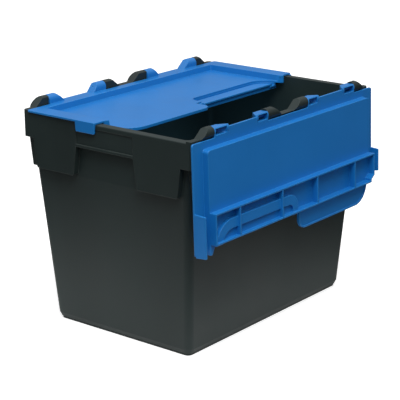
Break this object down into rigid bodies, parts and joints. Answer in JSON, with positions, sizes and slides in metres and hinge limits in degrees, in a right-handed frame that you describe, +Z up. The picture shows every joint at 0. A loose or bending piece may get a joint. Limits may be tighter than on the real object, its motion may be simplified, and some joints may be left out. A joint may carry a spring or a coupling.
{
  "type": "attached lid stacking crate",
  "caption": "Tapered plastic stacking crate with a flanged rim, handle grips and a pair of interlocking lids hinged along its long sides.",
  "frame": {"origin": "middle of the underside of the foot, on the floor", "axes": "+X along the length of the crate, +Y towards the rear lid's hinge, +Z up"},
  "size_m": [0.4, 0.3179, 0.3089],
  "materials": {
    "crate_plastic": "moulded charcoal polypropylene, fine grain, soft sheen",
    "lid_plastic": "moulded blue polypropylene, smooth with a soft sheen",
    "pin_plastic": "moulded blue hinge pin"
  },
  "bodies": {
    "crate": {"crate_body": "crate_plastic", "rear_hinge_pin_1": "pin_plastic", "rear_hinge_pin_2": "pin_plastic", "rear_hinge_pin_3": "pin_plastic", "rear_hinge_pin_4": "pin_plastic", "front_hinge_pin_1": "pin_plastic", "front_hinge_pin_2": "pin_plastic", "front_hinge_pin_3": "pin_plastic", "front_hinge_pin_4": "pin_plastic"},
    "rear_lid": {"rear_lid": "lid_plastic"},
    "front_lid": {"front_lid": "lid_plastic"}
  },
  "joints": [
    {"name": "rear_lid_hinge", "type": "hinge", "parent": "crate", "child": "rear_lid", "pos_m": [0, 0.1406, 0.3014], "axis": [-1, 0, 0], "range_deg": [0, 268.2]},
    {"name": "front_lid_hinge", "type": "hinge", "parent": "crate", "child": "front_lid", "pos_m": [0, -0.1406, 0.3014], "axis": [1, 0, 0], "range_deg": [-268.2, 0]}
  ]
}
